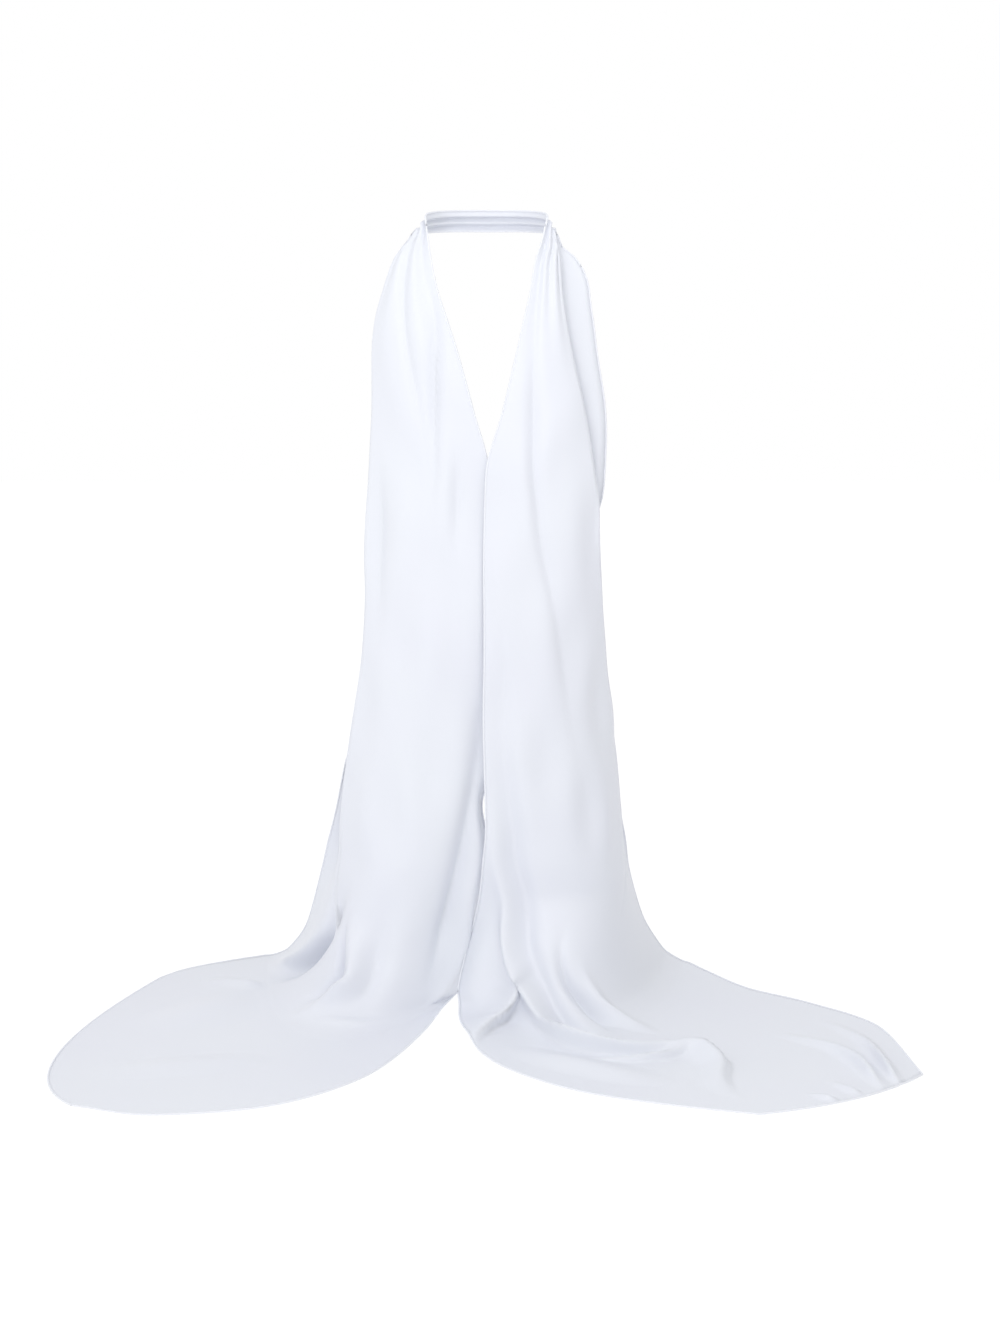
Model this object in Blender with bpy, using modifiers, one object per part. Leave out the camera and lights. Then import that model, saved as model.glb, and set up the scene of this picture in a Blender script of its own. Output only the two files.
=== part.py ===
"""A very long silk scarf, worn round the neck: two falls that meet in a deep V and trail out on the floor.

Metres, +Z up, the front towards -Y. The origin is between the two tips beside the neck, and the floor is
NECK_HEIGHT below it. The scarf is one strip. Each half is a surface of two parameters: how far along the strip
from the middle of the nape, and how far across it from the inner edge, which is the edge beside the neck.
"""

import bmesh
import bpy
import numpy as np

NECK_HEIGHT = 1.42      # floor to the tips beside the neck
CLOTH = 0.002           # thickness of the cloth wall
SEAM_GAP = 0.0008       # between one stretch and the next
LAYER_GAP = 0.011       # from one hanging layer to the next behind it
HEM_RADIUS = 0.0020     # rolled hem

SHOULDER_AT = 0.120     # along the strip from the nape: nape to fall
FLOOR_AT = 1.42         # along the strip: fall to train
TIP_AT = 0.14           # what the strip has used before it drops

GATHERS = 2.5           # waves across the strip at the nape
GATHER_DEPTH = 0.0034
GATHER_END = 0.50       # along the strip, where the gathers have run out

SILK = (0.90, 0.91, 0.95, 1.0)
SATIN_ROUGHNESS = 0.45

# Sections of the hanging part. drop is below the neck. The inner edge and the outer fold are in plan, bow is how
# far the middle stands forward of the line between them, pleat is the width of the fold hidden behind the outer
# edge, and reach is how far its last layer comes out past that edge. folded is 1 where the pleat lies closed and
# falls to 0 where it has opened out.
FALL_COLUMNS = ("drop", "in_x", "in_y", "out_x", "out_y", "bow", "pleat", "reach", "folded")
LEFT_FALL = [
    (0.030, -0.103, -0.034, -0.125, -0.020, 0.002, 0.000, 0.000, 0.00),
    (0.055, -0.100, -0.045, -0.149, -0.022, 0.005, 0.012, -0.004, 0.60),
    (0.082, -0.096, -0.056, -0.165, -0.025, 0.008, 0.028, -0.008, 1.00),
    (0.133, -0.085, -0.073, -0.183, -0.028, 0.012, 0.055, -0.010, 1.00),
    (0.184, -0.068, -0.088, -0.197, -0.030, 0.016, 0.085, -0.010, 1.00),
    (0.236, -0.051, -0.098, -0.203, -0.030, 0.020, 0.100, -0.010, 1.00),
    (0.338, -0.023, -0.109, -0.204, -0.030, 0.024, 0.120, -0.010, 1.00),
    (0.444, 0.003, -0.111, -0.210, -0.030, 0.026, 0.130, -0.006, 1.00),
    (0.550, 0.004, -0.110, -0.218, -0.030, 0.028, 0.130, 0.002, 1.00),
    (0.603, 0.004, -0.108, -0.220, -0.030, 0.029, 0.130, 0.006, 1.00),
    (0.657, 0.004, -0.105, -0.219, -0.028, 0.031, 0.130, -0.004, 1.00),
    (0.764, 0.004, -0.094, -0.225, -0.022, 0.036, 0.130, -0.010, 1.00),
    (0.873, 0.003, -0.080, -0.241, -0.012, 0.042, 0.120, -0.010, 1.00),
    (0.983, 0.005, -0.064, -0.264, 0.000, 0.056, 0.100, 0.004, 0.90),
    (1.093, 0.006, -0.046, -0.290, 0.020, 0.080, 0.070, -0.004, 0.68),
    (1.149, 0.003, -0.034, -0.301, 0.040, 0.100, 0.050, 0.000, 0.54),
    (1.205, -0.004, -0.020, -0.313, 0.070, 0.126, 0.025, 0.000, 0.40),
]
RIGHT_FALL = [
    (0.030, 0.100, -0.034, 0.122, -0.020, 0.002, 0.000, 0.000, 0.00),
    (0.055, 0.094, -0.047, 0.128, -0.026, 0.004, 0.012, 0.016, 0.60),
    (0.082, 0.086, -0.060, 0.129, -0.050, 0.006, 0.022, 0.042, 1.00),
    (0.133, 0.077, -0.078, 0.132, -0.066, 0.008, 0.036, 0.058, 1.00),
    (0.184, 0.065, -0.093, 0.139, -0.076, 0.010, 0.052, 0.058, 1.00),
    (0.236, 0.053, -0.103, 0.149, -0.082, 0.013, 0.070, 0.054, 1.00),
    (0.338, 0.029, -0.115, 0.172, -0.086, 0.020, 0.100, 0.046, 1.00),
    (0.444, 0.000, -0.121, 0.190, -0.080, 0.026, 0.130, 0.028, 1.00),
    (0.505, -0.003, -0.121, 0.199, -0.072, 0.028, 0.130, 0.012, 1.00),
    (0.550, -0.004, -0.120, 0.200, -0.068, 0.030, 0.130, -0.008, 1.00),
    (0.657, -0.004, -0.116, 0.207, -0.030, 0.044, 0.130, -0.015, 1.00),
    (0.764, -0.004, -0.109, 0.215, 0.006, 0.051, 0.130, -0.015, 1.00),
    (0.873, -0.006, -0.099, 0.226, 0.045, 0.060, 0.120, -0.010, 1.00),
    (0.983, -0.004, -0.088, 0.245, 0.080, 0.072, 0.100, -0.004, 0.90),
    (1.093, -0.001, -0.075, 0.260, 0.115, 0.090, 0.070, -0.004, 0.68),
    (1.149, -0.006, -0.067, 0.266, 0.135, 0.106, 0.050, -0.002, 0.54),
    (1.205, -0.012, -0.055, 0.270, 0.158, 0.123, 0.025, 0.000, 0.40),
]

# Sections round the neck and on the floor, through three points: the inner edge, the middle and the outer edge.
# along is the distance from the nape, and each height is above the floor.
SECTION_COLUMNS = (
    "along", "in_x", "in_y", "in_h", "mid_x", "mid_y", "mid_h", "out_x", "out_y", "out_h",
)
NECK = [
    (0.000, 0.000, 0.086, 1.426, 0.000, 0.093, 1.410, 0.000, 0.096, 1.392),
    (0.050, 0.048, 0.075, 1.425, 0.051, 0.082, 1.410, 0.053, 0.085, 1.392),
    (0.095, 0.085, 0.042, 1.422, 0.091, 0.047, 1.407, 0.096, 0.050, 1.390),
    (0.140, 0.104, -0.012, 1.413, 0.113, -0.008, 1.400, 0.119, -0.004, 1.386),
]
LEFT_TRAIN = [
    (1.440, -0.022, 0.010, 0.118, -0.222, -0.104, 0.118, -0.344, 0.140, 0.100),
    (1.505, -0.038, 0.018, 0.056, -0.240, -0.126, 0.062, -0.370, 0.190, 0.050),
    (1.575, -0.058, 0.000, 0.003, -0.266, -0.160, 0.022, -0.400, 0.228, 0.014),
    (1.640, -0.080, -0.070, 0.000, -0.302, -0.205, 0.004, -0.430, 0.245, 0.001),
    (1.720, -0.110, -0.200, 0.000, -0.347, -0.240, 0.000, -0.452, 0.236, 0.000),
    (1.880, -0.205, -0.436, 0.000, -0.460, -0.260, 0.000, -0.500, 0.210, 0.000),
    (2.040, -0.380, -0.576, 0.000, -0.590, -0.285, 0.000, -0.556, 0.174, 0.000),
    (2.140, -0.530, -0.600, 0.000, -0.678, -0.303, 0.000, -0.592, 0.142, 0.000),
    (2.230, -0.660, -0.560, 0.000, -0.730, -0.320, 0.000, -0.622, 0.100, 0.000),
]
RIGHT_TRAIN = [
    (1.440, -0.027, -0.034, 0.125, 0.182, -0.104, 0.118, 0.296, 0.192, 0.105),
    (1.505, -0.040, -0.042, 0.064, 0.190, -0.128, 0.062, 0.322, 0.214, 0.052),
    (1.575, -0.050, -0.068, 0.020, 0.204, -0.160, 0.022, 0.352, 0.220, 0.014),
    (1.640, -0.050, -0.118, 0.004, 0.230, -0.198, 0.004, 0.385, 0.202, 0.001),
    (1.720, -0.040, -0.208, 0.000, 0.262, -0.240, 0.000, 0.416, 0.150, 0.000),
    (1.880, 0.010, -0.352, 0.000, 0.335, -0.308, 0.000, 0.484, 0.040, 0.000),
    (2.040, 0.150, -0.495, 0.000, 0.436, -0.395, 0.000, 0.590, -0.050, 0.000),
    (2.160, 0.296, -0.558, 0.000, 0.540, -0.464, 0.000, 0.697, -0.190, 0.000),
    (2.260, 0.432, -0.598, 0.000, 0.600, -0.528, 0.000, 0.725, -0.420, 0.000),
]

# Folds. Each follows a path of spots on the strip, (along, across): along in metres and across a part of the way
# from the inner edge. It is deepest at peak, a part of its path. depth is below the cloth if negative.
FOLD_COLUMNS = ("width", "depth", "peak", "path")
LEFT_FOLDS = {
    "upper valley": (
        0.018, -0.010, 0.50,
        ((0.20, 0.03), (0.33, 0.14), (0.44, 0.30), (0.56, 0.40), (0.70, 0.43)),
    ),
    "shoulder line": (
        0.016, -0.004, 0.40,
        ((0.16, 0.66), (0.32, 0.56), (0.50, 0.48), (0.62, 0.47)),
    ),
    "chest band": (
        0.018, -0.005, 0.50,
        ((0.52, 0.22), (0.62, 0.23), (0.76, 0.23)),
    ),
    "side band": (
        0.018, -0.006, 0.40,
        ((0.50, 0.93), (0.65, 0.90), (0.80, 0.88), (0.95, 0.86)),
    ),
    "inner strip valley": (
        0.018, -0.014, 0.66,
        ((0.93, 0.02), (1.02, 0.045), (1.146, 0.087), (1.26, 0.117), (1.38, 0.122), (1.55, 0.145)),
    ),
    "inner strip ridge": (
        0.022, 0.018, 0.66,
        ((1.08, 0.02), (1.25, 0.050), (1.37, 0.066), (1.45, 0.062), (1.52, 0.070), (1.61, 0.10)),
    ),
    "broad valley": (
        0.040, -0.013, 0.50,
        ((1.28, 0.50), (1.40, 0.44), (1.50, 0.42), (1.58, 0.47)),
    ),
    "front ridge": (
        0.024, 0.026, 0.58,
        ((1.36, 0.665), (1.41, 0.60), (1.46, 0.52), (1.50, 0.49), (1.54, 0.53), (1.66, 0.68)),
    ),
    "cavity": (
        0.022, -0.036, 0.62,
        ((1.31, 0.728), (1.37, 0.735), (1.415, 0.752), (1.46, 0.79), (1.515, 0.835), (1.66, 0.885)),
    ),
    "outer flap": (
        0.024, 0.012, 0.60,
        ((1.37, 0.80), (1.43, 0.84), (1.50, 0.885), (1.57, 0.925), (1.66, 0.95)),
    ),
    "far crease": (
        0.018, 0.012, 0.40,
        ((1.66, 0.86), (1.74, 0.86), (1.86, 0.88), (2.00, 0.90)),
    ),
    "floor swell": (
        0.055, 0.013, 0.50,
        ((1.68, 0.80), (1.82, 0.74), (1.96, 0.68), (2.10, 0.64)),
    ),
    "near swell": (
        0.045, 0.009, 0.50,
        ((1.80, 0.36), (1.92, 0.34), (2.06, 0.34), (2.18, 0.36)),
    ),
}
RIGHT_FOLDS = {
    "long valley": (
        0.020, -0.011, 0.40,
        ((0.17, 0.20), (0.30, 0.27), (0.45, 0.335), (0.66, 0.44), (0.80, 0.50), (1.00, 0.54), (1.22, 0.54)),
    ),
    "central valley": (
        0.022, -0.014, 0.65,
        ((0.60, 0.08), (0.86, 0.11), (1.26, 0.105), (1.40, 0.18), (1.56, 0.34)),
    ),
    "inner ridge": (
        0.020, 0.023, 0.60,
        ((1.08, 0.00), (1.26, 0.04), (1.38, 0.11), (1.48, 0.18), (1.56, 0.25), (1.66, 0.28)),
    ),
    "floor roll": (
        0.024, 0.036, 0.45,
        ((1.48, 0.18), (1.58, 0.25), (1.68, 0.275), (1.76, 0.30), (1.82, 0.37), (1.89, 0.53)),
    ),
    "roll end": (
        0.026, 0.024, 0.45,
        ((1.80, 0.33), (1.85, 0.45), (1.91, 0.52), (1.98, 0.49), (2.08, 0.34), (2.20, 0.17)),
    ),
    "roll shade": (
        0.022, -0.012, 0.50,
        ((1.36, 0.19), (1.48, 0.27), (1.60, 0.35), (1.72, 0.38), (1.82, 0.46)),
    ),
    "landing valley": (
        0.022, -0.018, 0.45,
        ((1.38, 0.34), (1.48, 0.37), (1.55, 0.45), (1.65, 0.50), (1.80, 0.50)),
    ),
    "landing ridge": (
        0.022, 0.014, 0.45,
        ((1.44, 0.44), (1.54, 0.50), (1.64, 0.56), (1.80, 0.58)),
    ),
    "lip": (
        0.024, 0.030, 0.42,
        ((1.44, 0.225), (1.50, 0.195), (1.57, 0.15), (1.63, 0.105), (1.69, 0.05), (1.76, 0.01), (1.86, -0.005)),
    ),
    "facet": (
        0.030, 0.010, 0.50,
        ((1.36, 0.03), (1.46, 0.05), (1.56, 0.04), (1.62, 0.01)),
    ),
    "near swell": (
        0.050, 0.008, 0.50,
        ((1.72, 0.12), (1.84, 0.16), (1.96, 0.22), (2.06, 0.24)),
    ),
    "end valley": (
        0.022, -0.008, 0.50,
        ((1.98, 0.50), (2.05, 0.42), (2.13, 0.31), (2.22, 0.24)),
    ),
    "end fold": (
        0.020, 0.018, 0.70,
        ((1.96, 0.76), (2.08, 0.77), (2.18, 0.73), (2.27, 0.67)),
    ),
    "end fold by the edge": (
        0.018, 0.018, 0.75,
        ((2.02, 0.94), (2.13, 0.88), (2.20, 0.83), (2.27, 0.79)),
    ),
}
FOLD_SPOTS = 25         # spots that each path is smoothed into

# Columns across the strip: the front layer, its outer turn, the layer behind, the inner turn and the last layer
FRONT_COLUMNS = 21
TURN_COLUMNS = 4
BACK_COLUMNS = 4
ROW_STEP = 0.040        # between rows along the strip
FEWEST_ROWS = 6


def smooth_step(values):
    """Return 0 below 0, 1 above 1, and a smooth rise between."""
    t = np.clip(values, 0.0, 1.0)
    return t * t * (3.0 - 2.0 * t)


def smooth_curve(knots, values, at):
    """Interpolate columns of values with a cubic that never overshoots its knots."""
    step = np.diff(knots)[:, None]
    rise = np.diff(values, axis=0) / step
    slope = np.zeros_like(values)
    same_way = rise[:-1] * rise[1:] > 0.0
    total = np.where(same_way, rise[:-1] + rise[1:], 1.0)
    slope[1:-1] = np.where(same_way, 2.0 * rise[:-1] * rise[1:] / total, 0.0)
    slope[0] = rise[0]
    slope[-1] = rise[-1]
    spot = np.clip(np.searchsorted(knots, at) - 1, 0, len(knots) - 2)
    t = ((at - knots[spot]) / step[spot, 0])[:, None]
    start, end = values[spot], values[spot + 1]
    pull, push = slope[spot] * step[spot], slope[spot + 1] * step[spot]
    rest = 1.0 - t
    return (
        start * (1.0 + 2.0 * t) * rest**2
        + pull * t * rest**2
        + end * t**2 * (3.0 - 2.0 * t)
        - push * t**2 * rest
    )


def section_knots(side, fall, train):
    """Return the strip's sections as rows: along, three points, pleat, reach and folded."""
    rows = []
    for row in NECK:
        part = dict(zip(SECTION_COLUMNS, row))
        points = section_points(part)
        points[:, 0] *= side
        rows.append([part["along"], *points.ravel(), 0.0, 0.0, 0.0])
    for row in fall:
        part = dict(zip(FALL_COLUMNS, row))
        height = NECK_HEIGHT - part["drop"]
        inner = np.array([part["in_x"], part["in_y"], height])
        outer = np.array([part["out_x"], part["out_y"], height])
        chord = outer - inner
        forward = np.array([chord[1], -chord[0], 0.0]) * side / np.linalg.norm(chord)
        middle = (inner + outer) / 2.0 + forward * part["bow"]
        hidden = [part["pleat"], part["reach"], part["folded"]]
        rows.append([TIP_AT + part["drop"], *inner, *middle, *outer, *hidden])
    for row in train:
        part = dict(zip(SECTION_COLUMNS, row))
        rows.append([part["along"], *section_points(part).ravel(), 0.0, 0.0, 0.0])
    return np.array(rows)


def section_points(part):
    """Return a section's inner, middle and outer points."""
    return np.array([[part[f"{name}_{axis}"] for axis in "xyh"] for name in ("in", "mid", "out")])


def column_layout():
    """Return each column's layer (0, 1 or 2), its part of the way along that layer, and its turn (0 to 1)."""
    front = [(0, f, -1.0) for f in np.linspace(0.0, 1.0, FRONT_COLUMNS)]
    outer_turn = [(1, 0.0, f) for f in np.linspace(0.0, 1.0, TURN_COLUMNS + 1)[1:]]
    behind = [(1, f, -1.0) for f in np.linspace(0.0, 1.0, BACK_COLUMNS + 1)[1:]]
    inner_turn = [(2, 0.0, f) for f in np.linspace(0.0, 1.0, TURN_COLUMNS + 1)[1:]]
    last = [(2, f, -1.0) for f in np.linspace(0.0, 1.0, BACK_COLUMNS + 1)[1:]]
    return np.array(front + outer_turn + behind + inner_turn + last)


def curve_through(inner, middle, outer, t):
    """Return points at t on the parabola through three points, for rows of points and of t."""
    t = t[..., None]
    inner, middle, outer = inner[:, None], middle[:, None], outer[:, None]
    return (
        inner * (1.0 - t) * (1.0 - 2.0 * t)
        + middle * 4.0 * t * (1.0 - t)
        + outer * t * (2.0 * t - 1.0)
    )


def half_surface(side, fall, train, folds, along):
    """Return the strip's middle surface on one side of the nape, as rows of points along and across it."""
    knots = section_knots(side, fall, train)
    rows = smooth_curve(knots[:, 0], knots[:, 1:], along)
    inner, middle, outer = rows[:, 0:3], rows[:, 3:6], rows[:, 6:9]
    pleat, reach, closed = rows[:, 9:10], rows[:, 10:11], rows[:, 11:12]
    length = np.linalg.norm(middle - inner, axis=1) + np.linalg.norm(outer - middle, axis=1)
    length = length[:, None]

    gap = LAYER_GAP * closed
    layer, way, turn = column_layout().T
    bend = np.sin(np.pi * np.clip(turn, 0.0, 1.0)) * gap / 2.0
    swing = np.where(turn >= 0.0, (1.0 - np.cos(np.pi * turn)) / 2.0, 1.0)
    fold = length - gap / 2.0
    behind = np.where(turn >= 0.0, fold + bend, fold - way * pleat)
    last = np.where(turn >= 0.0, fold - pleat - bend, fold - pleat + way * (pleat + reach))
    beyond = np.where(layer == 1, behind, last) - length
    depth = np.where(layer == 1, swing, 1.0 + swing) * gap
    chord = outer - inner
    chord /= np.linalg.norm(chord, axis=1, keepdims=True)
    back = np.column_stack([-chord[:, 1], chord[:, 0], 0.0 * chord[:, 0]]) * side
    hidden = outer[:, None] + chord[:, None] * beyond[..., None] + back[:, None] * depth[..., None]
    front = curve_through(inner, middle, outer, way * fold / length)
    folded = np.where((layer == 0)[:, None], front, hidden)

    even = np.broadcast_to(np.linspace(0.0, 1.0, len(layer)), front.shape[:2])
    flat = curve_through(inner, middle, outer, even)
    surface = closed[..., None] * folded + (1.0 - closed[..., None]) * flat
    across = np.where(layer == 0, closed * way + (1.0 - closed) * even, even)

    in_front = np.where(layer == 0, 1.0, 1.0 - closed)
    lift = fold_depths(folds, along, across, length) * in_front
    fan = 1.0 - smooth_step((along[:, None] - SHOULDER_AT) / (GATHER_END - SHOULDER_AT))
    lift = lift + GATHER_DEPTH * fan * np.cos(2.0 * np.pi * GATHERS * across) * in_front
    surface = surface + surface_normals(surface, along, side) * lift[..., None]
    surface[..., 2] = np.maximum(surface[..., 2], CLOTH / 2.0) - NECK_HEIGHT
    return surface


def spot_places(spot, length):
    """Return where a spot of a fold's path lies on each row of the strip, in metres along and across."""
    return np.stack([np.full_like(length, spot[0]), spot[1] * length], axis=-1)


def fold_depths(folds, along, across, length):
    """Add up how far each fold lifts the cloth, by the distance from the nearest point of its smoothed path."""
    lift = np.zeros_like(across)
    place = np.stack([np.broadcast_to(along[:, None], across.shape), across * length], axis=-1)
    for row in folds.values():
        part = dict(zip(FOLD_COLUMNS, row))
        path = np.array(part["path"])
        spots = smooth_curve(np.linspace(0.0, 1.0, len(path)), path, np.linspace(0.0, 1.0, FOLD_SPOTS))
        nearest = np.full(across.shape, np.inf)
        walked = np.zeros_like(across)
        for step, (start, end) in enumerate(zip(spots[:-1], spots[1:])):
            begin = spot_places(start, length)
            run = spot_places(end, length) - begin
            t = np.clip(np.sum((place - begin) * run, axis=-1) / np.sum(run**2, axis=-1), 0.0, 1.0)
            away = np.linalg.norm(place - begin - run * t[..., None], axis=-1)
            walked = np.where(away < nearest, (step + t) / (FOLD_SPOTS - 1), walked)
            nearest = np.minimum(nearest, away)
        rising = smooth_step(walked / part["peak"]) * smooth_step((1.0 - walked) / (1.0 - part["peak"]))
        lift += part["depth"] * rising * np.exp(-((nearest / part["width"]) ** 2))
    return lift


def surface_normals(surface, along, side):
    """Return unit normals that point forward on the falls and up on the floor."""
    across = np.gradient(surface, axis=1)
    along = np.gradient(surface, along, axis=0)
    normal = np.cross(across, along) * -side
    return normal / np.maximum(np.linalg.norm(normal, axis=-1, keepdims=True), 1e-9)


def strip_rows(end):
    """Return the rows along half the strip, and how many belong to the nape and to the fall.

    A seam is two rows, a seam gap apart, with its stretches on either side.
    """
    stretches = [(0.0, SHOULDER_AT), (SHOULDER_AT + SEAM_GAP, FLOOR_AT), (FLOOR_AT + SEAM_GAP, end)]
    rows = []
    for start, stop in stretches:
        count = max(FEWEST_ROWS, int(round((stop - start) / ROW_STEP)) + 1)
        rows.append(np.linspace(start, stop, count))
    return np.concatenate(rows), len(rows[0]), len(rows[0]) + len(rows[1])


def silk_material(name):
    """Return a white satin for one piece."""
    material = bpy.data.materials.new(name)
    material.use_nodes = True
    shader = material.node_tree.nodes["Principled BSDF"]
    shader.inputs["Base Color"].default_value = SILK
    shader.inputs["Roughness"].default_value = SATIN_ROUGHNESS
    shader.inputs["Metallic"].default_value = 0.0
    return material


def cloth_wall(name, surface, collection):
    """Make one stretch of cloth: a grid of faces with Solidify to its thickness."""
    rows, columns = surface.shape[:2]
    corner = np.arange(rows * columns).reshape(rows, columns)
    faces = np.stack([corner[:-1, :-1], corner[:-1, 1:], corner[1:, 1:], corner[1:, :-1]], axis=-1)
    mesh = bpy.data.meshes.new(name)
    mesh.from_pydata(surface.reshape(-1, 3).tolist(), [], faces.reshape(-1, 4).tolist())
    mesh.shade_smooth()
    sheet = bmesh.new()
    sheet.from_mesh(mesh)
    for edge in sheet.edges:
        edge.smooth = not edge.is_boundary
    sheet.to_mesh(mesh)
    sheet.free()
    piece = bpy.data.objects.new(name, mesh)
    piece.data.materials.append(silk_material(name))
    collection.objects.link(piece)
    wall = piece.modifiers.new("Cloth", "SOLIDIFY")
    wall.thickness = CLOTH
    wall.offset = 0.0
    return piece


def rolled_hem(name, surface, collection):
    """Make the rolled hem beyond the last row of a train, as a thin tube along it."""
    edge = surface[-1]
    tangent = np.gradient(edge, axis=0)
    outward = np.column_stack([tangent[:, 1], -tangent[:, 0], 0.0 * tangent[:, 0]])
    outward /= np.linalg.norm(outward, axis=1, keepdims=True)
    outward *= np.sign(np.sum(outward * (surface[-1] - surface[-2]), axis=1, keepdims=True))
    line = edge + outward * (HEM_RADIUS + SEAM_GAP)
    line[:, 2] = np.maximum(edge[:, 2], HEM_RADIUS - NECK_HEIGHT)
    curve = bpy.data.curves.new(name, "CURVE")
    curve.dimensions = "3D"
    curve.bevel_depth = HEM_RADIUS
    curve.bevel_resolution = 2
    curve.use_fill_caps = True
    spline = curve.splines.new("POLY")
    spline.points.add(len(line) - 1)
    spline.points.foreach_set("co", np.column_stack([line, np.ones(len(line))]).ravel())
    piece = bpy.data.objects.new(name, curve)
    piece.data.materials.append(silk_material(name))
    collection.objects.link(piece)
    return piece


def main():
    """Build the scarf's stretches and its two end hems."""
    for item in list(bpy.data.objects):
        bpy.data.objects.remove(item, do_unlink=True)
    scarf = bpy.data.collections.new("silk_scarf")
    bpy.context.scene.collection.children.link(scarf)

    halves = {
        "left": (-1.0, LEFT_FALL, LEFT_TRAIN, LEFT_FOLDS),
        "right": (1.0, RIGHT_FALL, RIGHT_TRAIN, RIGHT_FOLDS),
    }
    round_neck = {}
    for name, half in halves.items():
        end = half[2][-1][0]
        rows, neck_end, fall_end = strip_rows(end)
        surface = half_surface(*half, rows)
        round_neck[name] = surface[:neck_end]
        cloth_wall(f"{name}_fall", surface[neck_end:fall_end], scarf)
        cloth_wall(f"{name}_train", surface[fall_end:], scarf)
        rolled_hem(f"{name}_hem", surface, scarf)
    nape = np.concatenate([round_neck["left"][::-1], round_neck["right"][1:]])
    cloth_wall("nape", nape, scarf)


main()
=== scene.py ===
"""A very long white silk satin scarf, worn round the neck.

Two falls meet in a deep V and trail out on the floor.

Metres, +Z up, the front towards -Y, the origin between the two tips beside the neck. The scarf is one strip. Each
half of it is a surface of two parameters: along, the distance along the strip from the middle of the nape, and
across, the part of the way from the inner edge, beside the neck, to the outer one.
"""

import math

import bpy
import numpy as np
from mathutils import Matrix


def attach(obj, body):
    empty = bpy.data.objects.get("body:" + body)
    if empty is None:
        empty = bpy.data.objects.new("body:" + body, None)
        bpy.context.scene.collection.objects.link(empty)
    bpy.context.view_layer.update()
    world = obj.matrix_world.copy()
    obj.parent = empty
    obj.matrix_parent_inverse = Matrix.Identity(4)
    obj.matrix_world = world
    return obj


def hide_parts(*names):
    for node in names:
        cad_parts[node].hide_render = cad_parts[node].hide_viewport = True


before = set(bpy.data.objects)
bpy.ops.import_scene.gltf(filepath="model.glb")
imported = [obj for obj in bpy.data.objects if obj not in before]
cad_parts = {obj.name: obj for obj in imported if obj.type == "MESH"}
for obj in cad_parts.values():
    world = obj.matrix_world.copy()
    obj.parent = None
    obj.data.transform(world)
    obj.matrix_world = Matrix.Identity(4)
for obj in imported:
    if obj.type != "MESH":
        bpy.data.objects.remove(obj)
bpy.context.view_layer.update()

NECK_HEIGHT = 1.42      # floor to the tips beside the neck
SILK_THICKNESS = 0.0009
LAYER_GAP = 0.011       # from one hanging layer to the next behind it
HEM_RADIUS = 0.0018     # hand-rolled hem round the whole strip
HEM_STITCH = 0.011      # from one hemming stitch to the next
HEM_PINCH = 0.86        # the hem's radius at a stitch, as a part of HEM_RADIUS
HEM_SWELL = 0.18        # what is added to that half way between two stitches
HEM_RINGS = 3.0         # rings from one stitch to the next
HEM_SIDES = 8
HEM_TURN = 0.008        # UV length round the hem
STEEP = 0.8             # upward part of a direction past which the hem's rings are laid out from another axis

SHOULDER_AT = 0.120     # along the strip from the nape: where it drops
TIP_AT = 0.14           # what the strip has used before it drops
GATHERS = 2.5           # waves across the strip at the nape
GATHER_DEPTH = 0.0034
GATHER_END = 0.50

FRONT_COLUMNS = 75
TURN_COLUMNS = 7
BACK_COLUMNS = 9
ROW_STEPS = ((0.00, 1.12, 0.0180), (1.12, 1.98, 0.0064), (1.98, None, 0.0086))  # from, to, step along the strip
FLOOR_LIFT = 0.0012     # lowest the middle of the silk lies above the floor

# Sections of the hanging part. drop is below the neck. The inner edge and the outer fold are in plan, bow is how
# far the middle stands forward of the line between them, pleat is the width of the fold hidden behind the outer
# edge, and reach is how far its last layer comes out past that edge. folded is 1 where the pleat lies closed and
# falls to 0 where it has opened out.
FALL_COLUMNS = ("drop", "in_x", "in_y", "out_x", "out_y", "bow", "pleat", "reach", "folded")
LEFT_FALL = [
    (0.030, -0.103, -0.034, -0.125, -0.020, 0.002, 0.000, 0.000, 0.00),
    (0.055, -0.100, -0.045, -0.149, -0.022, 0.005, 0.012, -0.004, 0.60),
    (0.082, -0.096, -0.056, -0.165, -0.025, 0.008, 0.028, -0.008, 1.00),
    (0.133, -0.085, -0.073, -0.183, -0.028, 0.012, 0.055, -0.010, 1.00),
    (0.184, -0.068, -0.088, -0.197, -0.030, 0.016, 0.085, -0.010, 1.00),
    (0.236, -0.051, -0.098, -0.203, -0.030, 0.020, 0.100, -0.010, 1.00),
    (0.338, -0.023, -0.109, -0.204, -0.030, 0.024, 0.120, -0.010, 1.00),
    (0.444, 0.003, -0.111, -0.210, -0.030, 0.026, 0.130, -0.006, 1.00),
    (0.550, 0.004, -0.110, -0.218, -0.030, 0.028, 0.130, 0.002, 1.00),
    (0.603, 0.004, -0.108, -0.220, -0.030, 0.029, 0.130, 0.006, 1.00),
    (0.657, 0.004, -0.105, -0.219, -0.028, 0.031, 0.130, -0.004, 1.00),
    (0.764, 0.004, -0.094, -0.225, -0.022, 0.036, 0.130, -0.010, 1.00),
    (0.873, 0.003, -0.080, -0.241, -0.012, 0.042, 0.120, -0.010, 1.00),
    (0.983, 0.005, -0.064, -0.264, 0.000, 0.056, 0.100, 0.004, 0.90),
    (1.093, 0.006, -0.046, -0.290, 0.020, 0.080, 0.070, -0.004, 0.68),
    (1.149, 0.003, -0.034, -0.301, 0.040, 0.100, 0.050, 0.000, 0.54),
    (1.205, -0.004, -0.020, -0.313, 0.070, 0.126, 0.025, 0.000, 0.40),
]
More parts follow.
